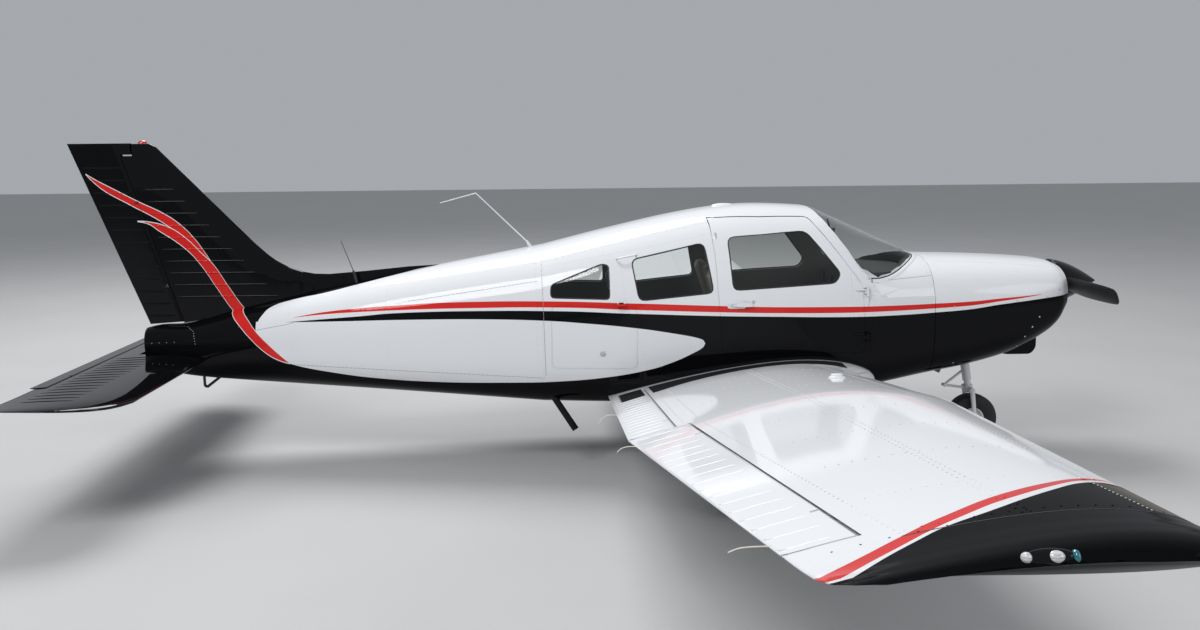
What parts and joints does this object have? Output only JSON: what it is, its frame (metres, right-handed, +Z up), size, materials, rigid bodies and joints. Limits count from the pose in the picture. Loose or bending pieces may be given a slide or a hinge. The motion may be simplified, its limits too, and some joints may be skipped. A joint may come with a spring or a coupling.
{
  "type": "light aircraft",
  "caption": "Four-seat low-wing light aircraft with fixed tricycle gear, tapered outer wings, a right-hand cabin door and an all-moving tailplane.",
  "frame": {"origin": "on the ground in the plane of symmetry, halfway between the spinner tip and the rudder's top rear corner", "axes": "+X forward to the propeller, +Y to the pilot's left, +Z up"},
  "size_m": [7.254, 10.668, 2.234],
  "materials": {
    "white_skin": "gloss white paint on riveted aluminium sheet",
    "black_skin": "gloss black paint on riveted aluminium sheet",
    "black_plastic": "gloss black painted composite",
    "clear_pane": "lightly tinted acrylic, polished",
    "engine_metal": "bare and painted castings",
    "steel": "painted and plated steel",
    "alloy": "bare aluminium alloy",
    "tyre": "worn black rubber",
    "trim": "grained black trim",
    "seat_cover": "woven grey-beige cloth",
    "lamp": "clear red lens",
    "white_plastic": "gloss white moulding"
  },
  "bodies": {
    "airframe": {"cabin_roof": "white_skin", "cabin_belly": "black_skin", "cabin_side_left": "white_skin", "cabin_side_right": "white_skin", "window_rear_right": "clear_pane", "window_aft_right": "clear_pane", "window_front_left": "clear_pane", "window_rear_left": "clear_pane", "window_aft_left": "clear_pane", "windshield": "clear_pane", "wing_left": "white_skin", "wing_right": "white_skin", "wing_tip_left": "black_plastic", "wing_tip_right": "black_plastic", "tail_cone": "black_skin", "fin": "black_skin", "main_gear_left": "steel", "main_gear_right": "steel", "nose_mount": "steel", "firewall": "steel", "cowl_upper": "white_skin", "cowl_lower": "black_skin", "engine_block": "engine_metal", "exhaust_pipe": "steel", "cabin_floor": "trim", "instrument_panel": "trim", "yoke_left": "trim", "yoke_right": "trim", "seat_front_left": "seat_cover", "seat_front_right": "seat_cover", "seat_rear": "seat_cover", "whip_antenna": "white_plastic", "stub_antenna": "trim", "grab_handle": "alloy", "entry_step": "black_plastic", "tail_skid": "steel", "roof_antenna": "white_plastic", "beacon": "lamp", "pitot_mast": "black_plastic"},
    "cabin_door": {"cabin_door": "white_skin", "door_window": "clear_pane"},
    "baggage_door": {"baggage_door": "white_skin"},
    "flap_left": {"flap_left": "white_skin"},
    "flap_right": {"flap_right": "white_skin"},
    "aileron_left": {"aileron_left": "white_skin"},
    "aileron_right": {"aileron_right": "white_skin"},
    "rudder": {"rudder": "black_skin"},
    "stabilator": {"stabilator": "black_skin"},
    "anti_servo_tab": {"anti_servo_tab": "black_skin"},
    "propeller": {"propeller": "black_skin", "spinner": "black_skin"},
    "nose_fork": {"nose_fork": "alloy"},
    "nose_wheel": {"nose_tyre": "tyre", "nose_rim": "alloy"},
    "main_wheel_left": {"main_left_tyre": "tyre", "main_left_rim": "alloy"},
    "main_wheel_right": {"main_right_tyre": "tyre", "main_right_rim": "alloy"}
  },
  "joints": [
    {"name": "cabin_door_hinge", "type": "hinge", "parent": "airframe", "child": "cabin_door", "pos_m": [1.806, -0.582, 1.186], "axis": [0, 0.0629, 0.998], "range_deg": [0, 75]},
    {"name": "baggage_door_hinge", "type": "hinge", "parent": "airframe", "child": "baggage_door", "pos_m": [-0.012, -0.59, 1.116], "axis": [-1, 0, 0], "range_deg": [0, 88]},
    {"name": "flap_left_hinge", "type": "hinge", "parent": "airframe", "child": "flap_left", "pos_m": [0.293, 0.617, 0.52797], "axis": [0, -0.9921, -0.1251], "range_deg": [0, 40]},
    {"name": "flap_right_hinge", "type": "hinge", "parent": "airframe", "child": "flap_right", "pos_m": [0.293, -0.617, 0.52797], "axis": [0, -0.9921, 0.1251], "range_deg": [0, 40]},
    {"name": "aileron_left_hinge", "type": "hinge", "parent": "airframe", "child": "aileron_left", "pos_m": [0.358, 2.663, 0.7936], "axis": [-0.0827, -0.9895, -0.1184], "range_deg": [-20, 20]},
    {"name": "aileron_right_hinge", "type": "hinge", "parent": "airframe", "child": "aileron_right", "pos_m": [0.358, -2.663, 0.7936], "axis": [0.0827, -0.9895, 0.1184], "range_deg": [-20, 20]},
    {"name": "rudder_hinge", "type": "hinge", "parent": "airframe", "child": "rudder", "pos_m": [-2.899, 0, 0.966], "axis": [-0.3065, 0, 0.9519], "range_deg": [-27, 27]},
    {"name": "stabilator_pivot", "type": "hinge", "parent": "airframe", "child": "stabilator", "pos_m": [-2.915, 0, 0.72], "axis": [0, 1, 0], "range_deg": [-4, 12]},
    {"name": "tab_hinge", "type": "hinge", "parent": "stabilator", "child": "anti_servo_tab", "pos_m": [-3.337, 0, 0.73477], "axis": [0, 1, 0], "range_deg": [-6, 18]},
    {"name": "propeller_shaft", "type": "hinge", "parent": "airframe", "child": "propeller", "pos_m": [3.281, 0, 1.171], "axis": [1, 0, 0], "continuous": true},
    {"name": "nose_steering", "type": "hinge", "parent": "airframe", "child": "nose_fork", "pos_m": [2.64, 0, 0.86], "axis": [-0.1683, 0, 0.9857], "range_deg": [-30, 30]},
    {"name": "nose_axle", "type": "hinge", "parent": "nose_fork", "child": "nose_wheel", "pos_m": [2.745, 0, 0.176], "axis": [0, 1, 0], "continuous": true},
    {"name": "main_axle_left", "type": "hinge", "parent": "airframe", "child": "main_wheel_left", "pos_m": [0.84, 1.525, 0.222], "axis": [0, 1, 0], "continuous": true},
    {"name": "main_axle_right", "type": "hinge", "parent": "airframe", "child": "main_wheel_right", "pos_m": [0.84, -1.525, 0.222], "axis": [0, 1, 0], "continuous": true}
  ],
  "couplings": [
    {"joint": "flap_right_hinge", "follows": "flap_left_hinge", "ratio": 1},
    {"joint": "aileron_right_hinge", "follows": "aileron_left_hinge", "ratio": -1},
    {"joint": "tab_hinge", "follows": "stabilator_pivot", "ratio": 1.5},
    {"joint": "nose_steering", "follows": "rudder_hinge", "ratio": -1.1}
  ]
}
